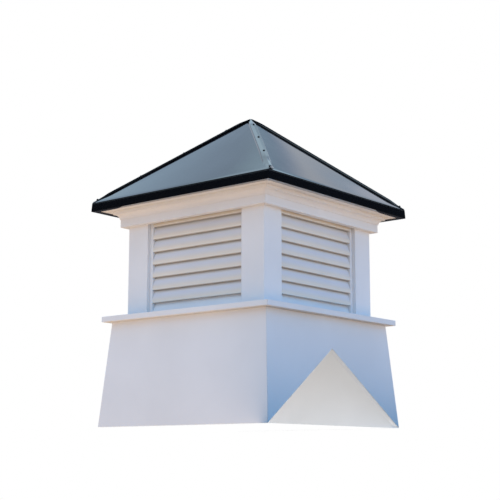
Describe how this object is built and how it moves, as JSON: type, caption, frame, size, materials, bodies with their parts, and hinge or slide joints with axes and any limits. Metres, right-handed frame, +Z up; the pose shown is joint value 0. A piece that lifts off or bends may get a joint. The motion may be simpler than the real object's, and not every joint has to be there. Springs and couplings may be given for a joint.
{
  "type": "roof cupola",
  "caption": "Hollow square roof cupola with a flared base cut to straddle a ridge, a louvred box, a coved cornice and a low hipped metal roof.",
  "frame": {"origin": "middle of the base, on the level of the lowest edges of the front and back base boards", "axes": "+Z up to the peak; the barn ridge runs along X, so the boards at -X and +X have the inverted V cut; the front, an eave side with a level bottom edge, faces -Y"},
  "size_m": [0.5588, 0.5588, 0.7769],
  "materials": {
    "white_pvc": "white cellular PVC board, smooth satin",
    "black_roof_metal": "black coil-coated aluminium sheet, glossy"
  },
  "bodies": {
    "root": {"skirt_front": "white_pvc", "skirt_back": "white_pvc", "skirt_left": "white_pvc", "skirt_right": "white_pvc", "shelf_front": "white_pvc", "shelf_back": "white_pvc", "shelf_left": "white_pvc", "shelf_right": "white_pvc", "louvre_frame_front": "white_pvc", "louvre_frame_back": "white_pvc", "louvre_frame_left": "white_pvc", "louvre_frame_right": "white_pvc", "louvre_blades_front": "white_pvc", "louvre_blades_back": "white_pvc", "louvre_blades_left": "white_pvc", "louvre_blades_right": "white_pvc", "frieze_front": "white_pvc", "frieze_back": "white_pvc", "frieze_left": "white_pvc", "frieze_right": "white_pvc", "crown_front": "white_pvc", "crown_back": "white_pvc", "crown_left": "white_pvc", "crown_right": "white_pvc", "soffit_front": "white_pvc", "soffit_back": "white_pvc", "soffit_left": "white_pvc", "soffit_right": "white_pvc", "drip_edge_front": "black_roof_metal", "drip_edge_back": "black_roof_metal", "drip_edge_left": "black_roof_metal", "drip_edge_right": "black_roof_metal", "roof_panel_front": "black_roof_metal", "roof_panel_back": "black_roof_metal", "roof_panel_left": "black_roof_metal", "roof_panel_right": "black_roof_metal", "post_front_left": "white_pvc", "post_front_right": "white_pvc", "post_back_left": "white_pvc", "post_back_right": "white_pvc", "hip_cap_front_left": "black_roof_metal", "hip_cap_front_right": "black_roof_metal", "hip_cap_back_left": "black_roof_metal", "hip_cap_back_right": "black_roof_metal"}
  },
  "joints": []
}
